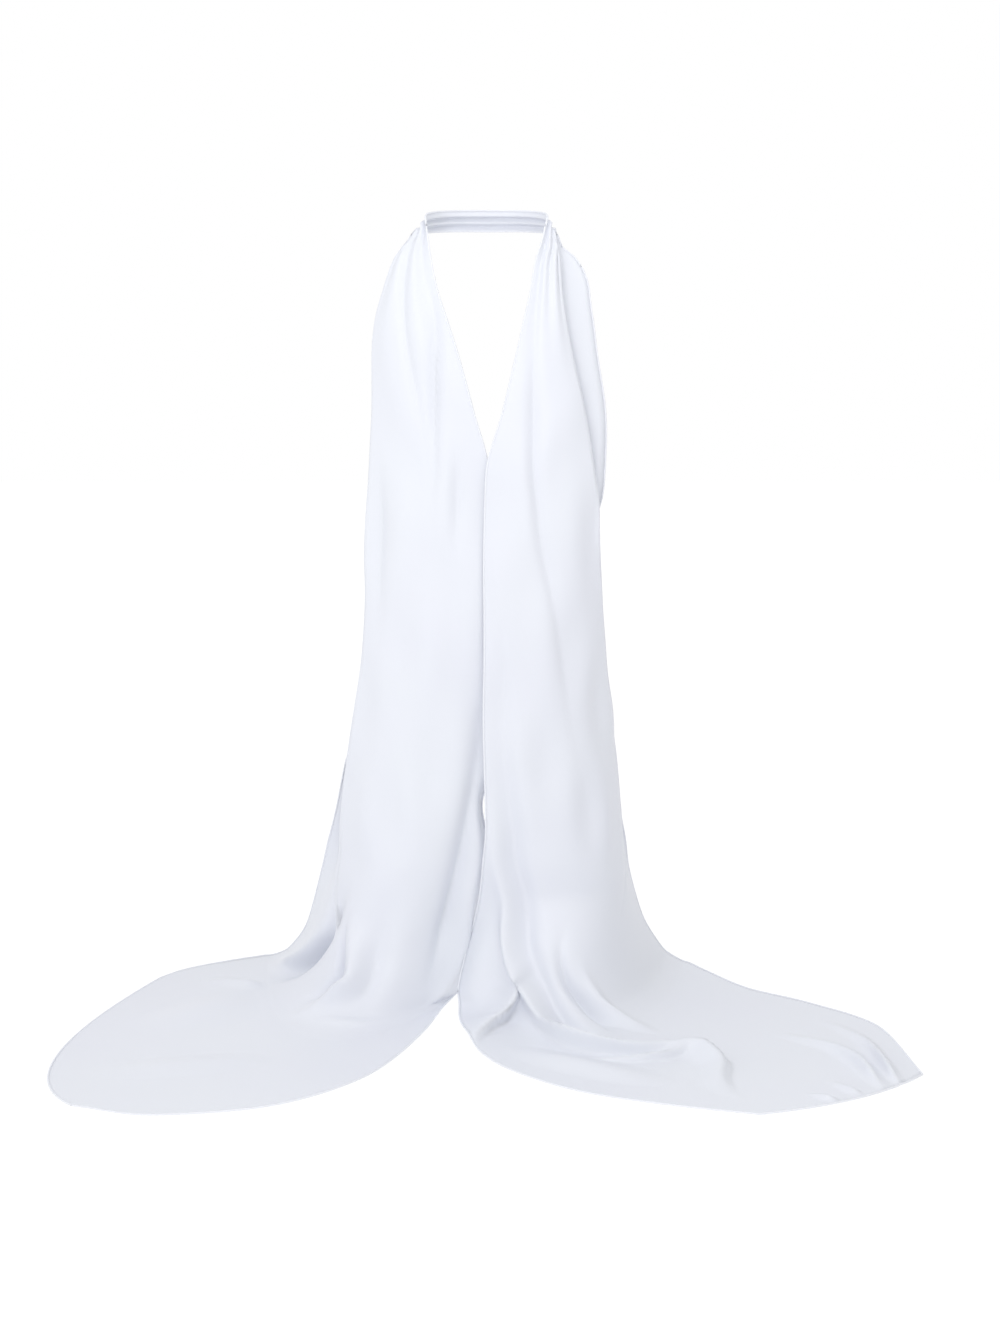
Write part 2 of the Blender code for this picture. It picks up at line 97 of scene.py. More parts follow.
RIGHT_FALL = [
    (0.030, 0.100, -0.034, 0.122, -0.020, 0.002, 0.000, 0.000, 0.00),
    (0.055, 0.094, -0.047, 0.128, -0.026, 0.004, 0.012, 0.016, 0.60),
    (0.082, 0.086, -0.060, 0.129, -0.050, 0.006, 0.022, 0.042, 1.00),
    (0.133, 0.077, -0.078, 0.132, -0.066, 0.008, 0.036, 0.058, 1.00),
    (0.184, 0.065, -0.093, 0.139, -0.076, 0.010, 0.052, 0.058, 1.00),
    (0.236, 0.053, -0.103, 0.149, -0.082, 0.013, 0.070, 0.054, 1.00),
    (0.338, 0.029, -0.115, 0.172, -0.086, 0.020, 0.100, 0.046, 1.00),
    (0.444, 0.000, -0.121, 0.190, -0.080, 0.026, 0.130, 0.028, 1.00),
    (0.505, -0.003, -0.121, 0.199, -0.072, 0.028, 0.130, 0.012, 1.00),
    (0.550, -0.004, -0.120, 0.200, -0.068, 0.030, 0.130, -0.008, 1.00),
    (0.657, -0.004, -0.116, 0.207, -0.030, 0.044, 0.130, -0.015, 1.00),
    (0.764, -0.004, -0.109, 0.215, 0.006, 0.051, 0.130, -0.015, 1.00),
    (0.873, -0.006, -0.099, 0.226, 0.045, 0.060, 0.120, -0.010, 1.00),
    (0.983, -0.004, -0.088, 0.245, 0.080, 0.072, 0.100, -0.004, 0.90),
    (1.093, -0.001, -0.075, 0.260, 0.115, 0.090, 0.070, -0.004, 0.68),
    (1.149, -0.006, -0.067, 0.266, 0.135, 0.106, 0.050, -0.002, 0.54),
    (1.205, -0.012, -0.055, 0.270, 0.158, 0.123, 0.025, 0.000, 0.40),
]

# Sections round the neck and on the floor, through three points: the inner edge, the middle and the outer edge.
# along is the distance from the nape, and each height is above the floor.
SECTION_COLUMNS = (
    "along", "in_x", "in_y", "in_h", "mid_x", "mid_y", "mid_h", "out_x", "out_y", "out_h",
)
NECK = [
    (0.000, 0.000, 0.086, 1.426, 0.000, 0.093, 1.410, 0.000, 0.096, 1.392),
    (0.050, 0.048, 0.075, 1.425, 0.051, 0.082, 1.410, 0.053, 0.085, 1.392),
    (0.095, 0.085, 0.042, 1.422, 0.091, 0.047, 1.407, 0.096, 0.050, 1.390),
    (0.140, 0.104, -0.012, 1.413, 0.113, -0.008, 1.400, 0.119, -0.004, 1.386),
]
LEFT_TRAIN = [
    (1.440, -0.022, 0.010, 0.118, -0.222, -0.104, 0.118, -0.344, 0.140, 0.100),
    (1.505, -0.038, 0.018, 0.056, -0.240, -0.126, 0.062, -0.370, 0.190, 0.050),
    (1.575, -0.058, 0.000, 0.003, -0.266, -0.160, 0.022, -0.400, 0.228, 0.014),
    (1.640, -0.080, -0.070, 0.000, -0.302, -0.205, 0.004, -0.430, 0.245, 0.001),
    (1.720, -0.110, -0.200, 0.000, -0.347, -0.240, 0.000, -0.452, 0.236, 0.000),
    (1.880, -0.205, -0.436, 0.000, -0.460, -0.260, 0.000, -0.500, 0.210, 0.000),
    (2.040, -0.380, -0.576, 0.000, -0.590, -0.285, 0.000, -0.556, 0.174, 0.000),
    (2.140, -0.530, -0.600, 0.000, -0.678, -0.303, 0.000, -0.592, 0.142, 0.000),
    (2.230, -0.660, -0.560, 0.000, -0.730, -0.320, 0.000, -0.622, 0.100, 0.000),
]
RIGHT_TRAIN = [
    (1.440, -0.027, -0.034, 0.125, 0.182, -0.104, 0.118, 0.296, 0.192, 0.105),
    (1.505, -0.040, -0.042, 0.064, 0.190, -0.128, 0.062, 0.322, 0.214, 0.052),
    (1.575, -0.050, -0.068, 0.020, 0.204, -0.160, 0.022, 0.352, 0.220, 0.014),
    (1.640, -0.050, -0.118, 0.004, 0.230, -0.198, 0.004, 0.385, 0.202, 0.001),
    (1.720, -0.040, -0.208, 0.000, 0.262, -0.240, 0.000, 0.416, 0.150, 0.000),
    (1.880, 0.010, -0.352, 0.000, 0.335, -0.308, 0.000, 0.484, 0.040, 0.000),
    (2.040, 0.150, -0.495, 0.000, 0.436, -0.395, 0.000, 0.590, -0.050, 0.000),
    (2.160, 0.296, -0.558, 0.000, 0.540, -0.464, 0.000, 0.697, -0.190, 0.000),
    (2.260, 0.432, -0.598, 0.000, 0.600, -0.528, 0.000, 0.725, -0.420, 0.000),
]

# Folds and creases. Each follows a path of spots on the strip, (along, across): along in metres and across a part
# of the way from the inner edge. It is deepest at peak, a part of its path. depth is below the cloth if negative.
# lean makes the side towards the outer edge broader if positive and steeper if negative, crisp goes from 0, a soft
# bell, to 1, a pointed crease, and tip pushes the crest over sideways, towards the outer edge if positive.
FOLD_COLUMNS = ("width", "depth", "peak", "lean", "crisp", "tip", "path")
LEFT_FOLDS = {
    "upper valley": (
        0.011, -0.014, 0.50, 0.3, 0.5, 0.0,
        ((0.20, 0.03), (0.33, 0.14), (0.44, 0.30), (0.56, 0.40), (0.70, 0.43)),
    ),
    "shoulder line": (
        0.011, -0.006, 0.40, 0.0, 0.4, 0.0,
        ((0.16, 0.66), (0.32, 0.56), (0.50, 0.48), (0.62, 0.47)),
    ),
    "chest band": (
        0.013, -0.009, 0.50, 0.0, 0.2, 0.0,
        ((0.52, 0.22), (0.62, 0.23), (0.76, 0.23)),
    ),
    "side band": (
        0.016, -0.008, 0.40, 0.0, 0.2, 0.0,
        ((0.50, 0.93), (0.65, 0.90), (0.80, 0.88), (0.95, 0.86)),
    ),
    "inner strip valley": (
        0.012, -0.022, 0.66, 0.6, 0.5, 0.0,
        (
            (0.93, 0.02), (1.02, 0.045), (1.146, 0.087), (1.26, 0.117),
            (1.38, 0.122), (1.45, 0.132), (1.55, 0.145),
        ),
    ),
    "inner strip ridge": (
        0.016, 0.028, 0.66, 0.0, 0.4, 0.0,
        ((1.08, 0.02), (1.25, 0.050), (1.37, 0.066), (1.45, 0.062), (1.52, 0.070), (1.61, 0.10)),
    ),
    "broad valley": (
        0.040, -0.014, 0.50, 0.0, 0.0, 0.0,
        ((1.28, 0.50), (1.40, 0.44), (1.50, 0.42), (1.58, 0.47)),
    ),
    "front ridge": (
        0.024, 0.038, 0.58, 0.0, 0.3, 0.1,
        ((1.36, 0.665), (1.41, 0.60), (1.46, 0.52), (1.50, 0.49), (1.54, 0.53), (1.59, 0.595), (1.66, 0.68)),
    ),
    "valley by the ridge": (
        0.012, -0.022, 0.50, 0.0, 0.3, 0.0,
        ((1.38, 0.685), (1.43, 0.64), (1.49, 0.605), (1.55, 0.65), (1.61, 0.72)),
    ),
    "cavity": (
        0.015, -0.038, 0.62, 0.2, 0.1, 0.50,
        (
            (1.31, 0.728), (1.37, 0.735), (1.415, 0.752), (1.46, 0.790),
            (1.515, 0.835), (1.58, 0.868), (1.66, 0.885),
        ),
    ),
    "outer flap": (
        0.018, 0.020, 0.60, 0.5, 0.2, -0.6,
        ((1.37, 0.80), (1.43, 0.84), (1.50, 0.885), (1.57, 0.925), (1.66, 0.95)),
    ),
    "landing crease": (
        0.009, 0.006, 0.50, 0.0, 0.6, 0.0,
        ((1.63, 0.60), (1.60, 0.48), (1.60, 0.34), (1.59, 0.22)),
    ),
    "far crease": (
        0.014, 0.014, 0.40, 0.0, 0.4, 0.0,
        ((1.66, 0.86), (1.74, 0.86), (1.86, 0.88), (2.00, 0.90)),
    ),
    "floor swell": (
        0.055, 0.014, 0.50, 0.0, 0.0, 0.0,
        ((1.68, 0.80), (1.82, 0.74), (1.96, 0.68), (2.10, 0.64)),
    ),
    "near swell": (
        0.045, 0.010, 0.50, 0.0, 0.0, 0.0,
        ((1.80, 0.36), (1.92, 0.34), (2.06, 0.34), (2.18, 0.36)),
    ),
    "gap": (
        0.014, -0.030, 0.50, 0.0, 0.2, 0.0,
        ((1.12, 0.00), (1.20, 0.00), (1.30, 0.00)),
    ),
}
RIGHT_FOLDS = {
    "long valley": (
        0.013, -0.013, 0.40, 0.4, 0.5, 0.0,
        (
            (0.17, 0.20), (0.30, 0.27), (0.45, 0.335), (0.55, 0.40),
            (0.66, 0.44), (0.80, 0.50), (1.00, 0.54), (1.22, 0.54),
        ),
    ),
    "central valley": (
        0.018, -0.021, 0.70, 0.0, 0.2, 0.0,
        ((0.60, 0.08), (0.86, 0.11), (1.10, 0.10), (1.26, 0.105), (1.40, 0.18), (1.47, 0.23), (1.56, 0.34)),
    ),
    "inner ridge": (
        0.014, 0.031, 0.60, 0.5, 0.5, -0.2,
        ((1.08, 0.00), (1.26, 0.04), (1.38, 0.11), (1.48, 0.18), (1.56, 0.25), (1.66, 0.28)),
    ),
    "floor roll": (
        0.017, 0.043, 0.45, 1.0, 0.5, -0.6,
        ((1.48, 0.18), (1.58, 0.25), (1.68, 0.275), (1.76, 0.30), (1.82, 0.37), (1.86, 0.46), (1.89, 0.53)),
    ),
    "roll end": (
        0.026, 0.028, 0.45, -0.5, 0.3, 0.2,
        ((1.80, 0.33), (1.85, 0.45), (1.91, 0.52), (1.98, 0.49), (2.08, 0.34), (2.20, 0.17)),
    ),
    "roll shade": (
        0.020, -0.018, 0.50, 0.0, 0.2, 0.0,
        ((1.36, 0.19), (1.48, 0.27), (1.60, 0.35), (1.72, 0.38), (1.82, 0.46)),
    ),
    "landing valley": (
        0.016, -0.024, 0.45, 0.0, 0.4, 0.0,
        ((1.38, 0.34), (1.48, 0.37), (1.55, 0.45), (1.65, 0.50), (1.80, 0.50)),
    ),
    "landing ridge": (
        0.018, 0.016, 0.45, 0.0, 0.3, 0.0,
        ((1.44, 0.44), (1.54, 0.50), (1.64, 0.56), (1.80, 0.58)),
    ),
    "lip": (
        0.024, 0.036, 0.42, -0.6, 0.4, 0.75,
        (
            (1.44, 0.225), (1.50, 0.195), (1.57, 0.150), (1.63, 0.105),
            (1.69, 0.050), (1.76, 0.010), (1.86, -0.005),
        ),
    ),
    "facet": (
        0.034, 0.016, 0.50, 0.0, 0.0, 0.0,
        ((1.36, 0.03), (1.46, 0.05), (1.56, 0.04), (1.62, 0.01)),
    ),
    "near swell": (
        0.050, 0.012, 0.50, 0.0, 0.0, 0.0,
        ((1.72, 0.12), (1.84, 0.16), (1.96, 0.22), (2.06, 0.24)),
    ),
    "end valley": (
        0.018, -0.010, 0.50, 0.0, 0.2, 0.0,
        ((1.98, 0.50), (2.05, 0.42), (2.13, 0.31), (2.22, 0.24)),
    ),
    "end fold": (
        0.015, 0.022, 0.70, 0.0, 0.5, -0.4,
        ((1.96, 0.76), (2.08, 0.77), (2.18, 0.73), (2.27, 0.67)),
    ),
    "end fold by the edge": (
        0.013, 0.022, 0.75, 0.0, 0.5, -0.4,
        ((2.02, 0.94), (2.13, 0.88), (2.20, 0.83), (2.27, 0.79)),
    ),
    "hem pucker": (
        0.010, 0.010, 0.70, 0.0, 0.3, 0.0,
        ((2.17, 0.42), (2.22, 0.40), (2.26, 0.38)),
    ),
    "second pucker": (
        0.010, 0.009, 0.70, 0.0, 0.3, 0.0,
        ((2.15, 0.55), (2.21, 0.54), (2.26, 0.53)),
    ),
    "slit": (
        0.012, 0.018, 0.55, 0.0, 0.4, -0.6,
        ((1.83, 0.22), (1.865, 0.29), (1.885, 0.38), (1.893, 0.46), (1.89, 0.54)),
    ),
}
CREST_ROUND = 0.25      # how round a pointed crease still is, in widths
FOLD_SPOTS = 49         # spots that each path is smoothed into
SHORTEST = 1e-9         # keeps a length above 0 where it divides
SHORTEST_SQUARED = 1e-12    # the same for a squared length

# Faint slow waves all over the silk: crests along and across in metres, height and phase
SOFT_WAVE_COLUMNS = ("along", "across", "height", "phase")
SOFT_WAVES = [
    (0.41, 0.110, 0.0018, 0.4),
    (-0.63, 0.083, 0.0013, 2.1),
    (0.29, -0.171, 0.0016, 4.0),
    (0.17, 0.240, 0.0010, 5.2),
]
SOFT_WAVE_ENDS = (0.25, 0.60, 1.20, 1.38)   # along the strip: where they begin, are full, fade and end

# White satin: roughness, and the two tints that a slow cloud mixes
SATIN_LOOK = (0.42, (0.748, 0.760, 0.834), (0.766, 0.793, 0.836))
# The hem: the same satin with lighter tints, a painted highlight along the rolled edge where it catches the light
HEM_PAINTED_HIGHLIGHT_LOOK = (0.48, (0.79, 0.81, 0.86), (0.82, 0.835, 0.88))
SATIN_SPECULAR = 0.25               # gloss at a right angle, 0.5 for plain glass
SHEEN_WEIGHT = 0.06
SHEEN_ROUGHNESS = 0.45
SHEEN_TINT = (0.93, 0.94, 1.0, 1.0)
THREAD_CELLS = (2400.0, 90.0, 1.0)  # noise cells in a metre across and along the strip
THREAD_DETAIL = 3.0
SLUB_CELLS = (420.0, 9.0, 1.0)      # the same for the thicker threads
SLUB_DETAIL = 2.0
SLUB_SHARE = 0.5                    # of the slubs in the threads' height
THREAD_BUMP = 0.10                  # strength, from 0 to 1
THREAD_HEIGHT = 0.0004
CLOUD_CELLS = 3.2                   # tint clouds in a metre
CLOUD_DETAIL = 2.0

FLOOR_HALF = 12.0       # half the side of the square floor
FLOOR_GREY = (0.20, 0.20, 0.20, 1.0)
FLOOR_ROUGHNESS = 0.9
FLOOR_SPECULAR = 0.1
FLOOR_GLOW = 0.86       # strength of its own white light
WHITE = (1.0, 1.0, 1.0, 1.0)
SOFTER_ABOVE = ((0.15, 0.95), (1.0, 0.85))  # range of the upward direction, and the world's strength over it
SOFTER_RIGHT = ((0.30, 0.90), (1.0, 0.50))  # the same for the direction to the right
LIGHT_COLUMNS = ("name", "place", "width", "power")
LIGHTS = [
    ("key", (-1.0, -2.7, 0.9), 1.0, 15.0),
    ("overhead", (0.8, -0.6, 1.6), 1.2, 9.0),
    ("fill", (0.5, -3.0, 0.0), 1.6, 6.5),
]
LIGHTS_AIM = (0.0, 0.0, -0.7)   # the point that all three face

PHOTO_LENS = 57.572     # millimetres, on a sensor of 36
SENSOR = 36.0
PHOTO_PLACE = (0.0234, -3.8, -0.17)
PHOTO_TILT = 9.448      # degrees down


def smooth_step(values):
    """0 below 0, 1 above 1, and three times the square less twice the cube between."""
    t = np.clip(values, 0.0, 1.0)
    return t * t * (3.0 - 2.0 * t)


def smooth_curve(knots, values, at):
    """Cubic pieces between the knots, with harmonic mean slopes, so that no value passes its knots."""
    step = np.diff(knots)[:, None]
    rise = np.diff(values, axis=0) / step
    slope = np.zeros_like(values)
    same_way = rise[:-1] * rise[1:] > 0.0
    total = np.where(same_way, rise[:-1] + rise[1:], 1.0)
    slope[1:-1] = np.where(same_way, 2.0 * rise[:-1] * rise[1:] / total, 0.0)
    slope[0] = rise[0]
    slope[-1] = rise[-1]
    spot = np.clip(np.searchsorted(knots, at) - 1, 0, len(knots) - 2)
    t = ((at - knots[spot]) / step[spot, 0])[:, None]
    start, end = values[spot], values[spot + 1]
    pull, push = slope[spot] * step[spot], slope[spot + 1] * step[spot]
    rest = 1.0 - t
    return (
        start * (1.0 + 2.0 * t) * rest**2
        + pull * t * rest**2
        + end * t**2 * (3.0 - 2.0 * t)
        - push * t**2 * rest
    )


def section_points(part):
    """The inner, middle and outer points of a section's row."""
    return np.array([[part[f"{name}_{axis}"] for axis in "xyh"] for name in ("in", "mid", "out")])


def section_knots(side, fall, train):
    """The strip's sections as rows: along, three points, pleat, reach and folded."""
    rows = []
    for row in NECK:
        part = dict(zip(SECTION_COLUMNS, row))
        points = section_points(part)
        points[:, 0] *= side
        rows.append([part["along"], *points.ravel(), 0.0, 0.0, 0.0])
    for row in fall:
        part = dict(zip(FALL_COLUMNS, row))
        height = NECK_HEIGHT - part["drop"]
        inner = np.array([part["in_x"], part["in_y"], height])
        outer = np.array([part["out_x"], part["out_y"], height])
        chord = outer - inner
        forward = np.array([chord[1], -chord[0], 0.0]) * side / np.linalg.norm(chord)
        middle = (inner + outer) / 2.0 + forward * part["bow"]
        hidden = [part["pleat"], part["reach"], part["folded"]]
        rows.append([TIP_AT + part["drop"], *inner, *middle, *outer, *hidden])
    for row in train:
        part = dict(zip(SECTION_COLUMNS, row))
        rows.append([part["along"], *section_points(part).ravel(), 0.0, 0.0, 0.0])
    return np.array(rows)


def column_layout():
    """Each column's layer (0, 1 or 2), its part of the way along that layer, and its turn (0 to 1)."""
    front = [(0, f, -1.0) for f in np.linspace(0.0, 1.0, FRONT_COLUMNS)]
    outer_turn = [(1, 0.0, f) for f in np.linspace(0.0, 1.0, TURN_COLUMNS + 1)[1:]]
    behind = [(1, f, -1.0) for f in np.linspace(0.0, 1.0, BACK_COLUMNS + 1)[1:]]
    inner_turn = [(2, 0.0, f) for f in np.linspace(0.0, 1.0, TURN_COLUMNS + 1)[1:]]
    last = [(2, f, -1.0) for f in np.linspace(0.0, 1.0, BACK_COLUMNS + 1)[1:]]
    return np.array(front + outer_turn + behind + inner_turn + last)


def curve_through(inner, middle, outer, t):
    """The parabola through three points: each point weighted by a product of two straight terms in t."""
    t = t[..., None]
    inner, middle, outer = inner[:, None], middle[:, None], outer[:, None]
    return (
        inner * (1.0 - t) * (1.0 - 2.0 * t)
        + middle * 4.0 * t * (1.0 - t)
        + outer * t * (2.0 * t - 1.0)
    )


def half_surface(side, fall, train, folds, along):
    """The middle surface of half the strip.

    The front layer is a parabola from the inner edge to the outer fold. Behind it the cloth turns through half a
    circle, runs back along the chord by the pleat's width, turns again, and runs out by that width and the reach.
    Where the pleat opens, this is mixed with one parabola over all the columns. Folds, gathers and soft waves
    then lift the cloth along its normal.
    """
    knots = section_knots(side, fall, train)
    rows = smooth_curve(knots[:, 0], knots[:, 1:], along)
    inner, middle, outer = rows[:, 0:3], rows[:, 3:6], rows[:, 6:9]
    pleat, reach, closed = rows[:, 9:10], rows[:, 10:11], rows[:, 11:12]
    length = np.linalg.norm(middle - inner, axis=1) + np.linalg.norm(outer - middle, axis=1)
    length = length[:, None]

    gap = LAYER_GAP * closed
    layer, way, turn = column_layout().T
    bend = np.sin(np.pi * np.clip(turn, 0.0, 1.0)) * gap / 2.0
    swing = np.where(turn >= 0.0, (1.0 - np.cos(np.pi * turn)) / 2.0, 1.0)
    fold = length - gap / 2.0
    behind = np.where(turn >= 0.0, fold + bend, fold - way * pleat)
    last = np.where(turn >= 0.0, fold - pleat - bend, fold - pleat + way * (pleat + reach))
    beyond = np.where(layer == 1, behind, last) - length
    depth = np.where(layer == 1, swing, 1.0 + swing) * gap
    chord = outer - inner
    chord /= np.linalg.norm(chord, axis=1, keepdims=True)
    back = np.column_stack([-chord[:, 1], chord[:, 0], 0.0 * chord[:, 0]]) * side
    hidden = outer[:, None] + chord[:, None] * beyond[..., None] + back[:, None] * depth[..., None]
    front = curve_through(inner, middle, outer, way * fold / length)
    folded = np.where((layer == 0)[:, None], front, hidden)

    even = np.broadcast_to(np.linspace(0.0, 1.0, len(layer)), front.shape[:2])
    flat = curve_through(inner, middle, outer, even)
    surface = closed[..., None] * folded + (1.0 - closed[..., None]) * flat
    across = np.where(layer == 0, closed * way + (1.0 - closed) * even, even)

    in_front = np.where(layer == 0, 1.0, 1.0 - closed)
    lift, slide = fold_lifts(folds, along, across, length)
    lift, slide = lift * in_front, slide * in_front[..., None]
    fan = 1.0 - smooth_step((along[:, None] - SHOULDER_AT) / (GATHER_END - SHOULDER_AT))
    lift = lift + GATHER_DEPTH * fan * np.cos(2.0 * np.pi * GATHERS * across) * in_front
    lift = lift + soft_waves(along, across * length) * in_front
    ways = np.stack([unit(np.gradient(surface, along, axis=0)), unit(np.gradient(surface, axis=1))])
    sideways = ways[0] * slide[..., :1] + ways[1] * slide[..., 1:]
    surface = surface + surface_normals(surface, along, side) * lift[..., None] + sideways
    surface[..., 2] = np.maximum(surface[..., 2], FLOOR_LIFT) - NECK_HEIGHT
    return surface


def fold_lifts(folds, along, across, length):
    """How far the folds lift the cloth, and push it along and across.

    Each fold's path is smoothed, and each spot of the cloth finds the nearest point of it. The lift is the depth,
    times a smooth rise and fall along the path, times a bell or a pointed curve of the distance over the width. The
    push is the lift times the tip, at a right angle to the path.
    """
    wide = np.broadcast_to(length, across.shape)
    down = np.broadcast_to(along[:, None], across.shape)
    lift = np.zeros_like(across)
    slide = np.zeros(across.shape + (2,))
    for row in folds.values():
        part = dict(zip(FOLD_COLUMNS, row))
        path = np.array(part["path"])
        even = np.linspace(0.0, 1.0, FOLD_SPOTS)
        spots = smooth_curve(np.linspace(0.0, 1.0, len(path)), path, even)
        forwards = np.sign(path[-1, 0] - path[0, 0])
        best = np.full(across.shape, np.inf)
        walked = np.zeros_like(across)
        outward = np.zeros_like(across)
        heading = np.zeros(across.shape + (2,))
        for step, (start, end) in enumerate(zip(spots[:-1], spots[1:])):
            step_along = np.full_like(across, end[0] - start[0])
            run = np.stack([step_along, (end[1] - start[1]) * wide], axis=-1)
            from_start = np.stack([down - start[0], (across - start[1]) * wide], axis=-1)
            size = np.maximum(np.sum(run**2, axis=-1), SHORTEST_SQUARED)
            t = np.clip(np.sum(from_start * run, axis=-1) / size, 0.0, 1.0)
            off = from_start - run * t[..., None]
            away = np.linalg.norm(off, axis=-1)
            nearer = away < best
            best = np.where(nearer, away, best)
            walked = np.where(nearer, (step + t) / (FOLD_SPOTS - 1), walked)
            beside = np.sign(run[..., 0] * off[..., 1] - run[..., 1] * off[..., 0])
            outward = np.where(nearer, beside, outward)
            heading = np.where(nearer[..., None], run / np.sqrt(size)[..., None], heading)
        outward = outward * forwards
        rising = smooth_step(walked / part["peak"]) * smooth_step((1.0 - walked) / (1.0 - part["peak"]))
        away = best / part["width"] / np.where(outward > 0.0, 1.0 + part["lean"], 1.0)
        bell = np.exp(-(away**2))
        point = np.exp(CREST_ROUND - np.sqrt(CREST_ROUND**2 + 2.0 * away**2))
        raised = part["depth"] * rising * (bell + (point - bell) * part["crisp"])
        lift += raised
        turned = np.stack([-heading[..., 1], heading[..., 0]], axis=-1) * forwards
        slide += turned * (np.abs(raised) * part["tip"])[..., None]
    return lift, slide


def soft_waves(along, across):
    """The sum of a few sine waves over the strip, each with its own crest spacing along and across."""
    lift = np.zeros_like(across)
    for row in SOFT_WAVES:
        part = dict(zip(SOFT_WAVE_COLUMNS, row))
        turn = along[:, None] / part["along"] + across / part["across"]
        lift += part["height"] * np.sin(2.0 * np.pi * turn + part["phase"])
    start, full, fade, end = SOFT_WAVE_ENDS
    rising = smooth_step((along[:, None] - start) / (full - start))
    return lift * rising * smooth_step((end - along[:, None]) / (end - fade))


def unit(vectors):
    """Vectors of length 1."""
    return vectors / np.maximum(np.linalg.norm(vectors, axis=-1, keepdims=True), SHORTEST)


def surface_normals(surface, along, side):
    """The unit cross product of the two tangents, forward on the falls and up on the floor."""
    across = np.gradient(surface, axis=1)
    along = np.gradient(surface, along, axis=0)
    return unit(np.cross(across, along) * -side)


def grid_faces(rows, columns, closed_round=False):
    """Four corners for each cell of a grid, with the last column joined to the first if closed_round."""
    corner = np.arange(rows * columns).reshape(rows, columns)
    if closed_round:
        corner = np.column_stack([corner, corner[:, 0]])
    cells = [corner[:-1, :-1], corner[:-1, 1:], corner[1:, 1:], corner[1:, :-1]]
    return np.stack(cells, axis=-1).reshape(-1, 4)


def mesh_object(name, points, faces, uv=None):
    """A smooth mesh object from points, faces of four corners and a pair of UV values a point."""
    mesh = bpy.data.meshes.new(name)
    mesh.from_pydata(points.reshape(-1, 3).tolist(), [], faces.tolist())
    mesh.shade_smooth()
    if uv is not None:
        layer = mesh.uv_layers.new(name="Cloth")
        corners = np.empty(len(mesh.loops), dtype=np.int32)
        mesh.loops.foreach_get("vertex_index", corners)
        layer.data.foreach_set("uv", uv.reshape(-1, 2)[corners].astype(np.float32).ravel())
    piece = bpy.data.objects.new(name, mesh)
    bpy.context.scene.collection.objects.link(piece)
    return piece


def cloth_lengths(surface):
    """Distances over the cloth: across from the middle column, and along from the first row, in metres."""
    across = np.linalg.norm(np.diff(surface, axis=1), axis=2)
    across = np.column_stack([np.zeros(len(surface)), np.cumsum(across, axis=1)])
    across -= across[:, surface.shape[1] // 2][:, None]
    along = np.linalg.norm(np.diff(surface, axis=0), axis=2)
    along = np.vstack([np.zeros(surface.shape[1]), np.cumsum(along, axis=0)])
    along = np.broadcast_to(along.mean(axis=1, keepdims=True), across.shape)
    return np.stack([across, along], axis=-1)


def silk_sheet(name, surface, material):
    """The whole strip from one end to the other, with Solidify to the silk's thickness."""
    piece = mesh_object(name, surface, grid_faces(*surface.shape[:2]), cloth_lengths(surface))
    piece.data.materials.append(material)
    wall = piece.modifiers.new("Silk", "SOLIDIFY")
    wall.thickness = SILK_THICKNESS
    wall.offset = 0.0
    return piece


def rolled_hem(name, surface, material):
    """A thin closed tube round all four edges of the strip, a circle swept along them.

    Its radius swells between the stitches as the size of a sine of the distance along it.
    """
    edge = np.concatenate([
        surface[:, 0], surface[-1, 1:-1], surface[::-1, -1], surface[0, -2:0:-1], surface[:1, 0],
    ])
    step = np.linalg.norm(np.diff(edge, axis=0), axis=1)
    walked = np.concatenate([[0.0], np.cumsum(step)])
    at = np.arange(0.0, walked[-1], HEM_STITCH / HEM_RINGS)
    path = np.column_stack([np.interp(at, walked, edge[:, axis]) for axis in range(3)])
    tangent = np.gradient(path, axis=0)
    tangent /= np.linalg.norm(tangent, axis=1, keepdims=True)
    guide = np.where(np.abs(tangent[:, 2:3]) > STEEP, [[0.0, 1.0, 0.0]], [[0.0, 0.0, 1.0]])
    first = np.cross(tangent, guide)
    first /= np.linalg.norm(first, axis=1, keepdims=True)
    second = np.cross(tangent, first)
    radius = HEM_RADIUS * (HEM_PINCH + HEM_SWELL * np.abs(np.sin(np.pi * at / HEM_STITCH)))
    angle = np.linspace(0.0, 2.0 * np.pi, HEM_SIDES, endpoint=False)
    ring = first[:, None] * np.cos(angle)[:, None] + second[:, None] * np.sin(angle)[:, None]
    points = path[:, None] + ring * radius[:, None, None]
    points[..., 2] = np.maximum(points[..., 2], -NECK_HEIGHT)
    turns = np.broadcast_to(angle / (2.0 * np.pi) * HEM_TURN, points.shape[:2])
    uv = np.stack([turns, np.broadcast_to(at[:, None], points.shape[:2])], axis=-1)
    piece = mesh_object(name, points, grid_faces(*points.shape[:2], closed_round=True), uv)
    piece.data.materials.append(material)
    return piece


def stretched_noise(nodes, links, place, cells, detail):
    """Noise over the UV map, with so many cells in a metre across and along the strip."""
    stretch = nodes.new("ShaderNodeMapping")
    stretch.inputs["Scale"].default_value = cells
    links.new(place, stretch.inputs["Vector"])
    noise = nodes.new("ShaderNodeTexNoise")
    noise.inputs["Scale"].default_value = 1.0
    noise.inputs["Detail"].default_value = detail
    links.new(stretch.outputs["Vector"], noise.inputs["Vector"])
    return noise.outputs["Fac"]


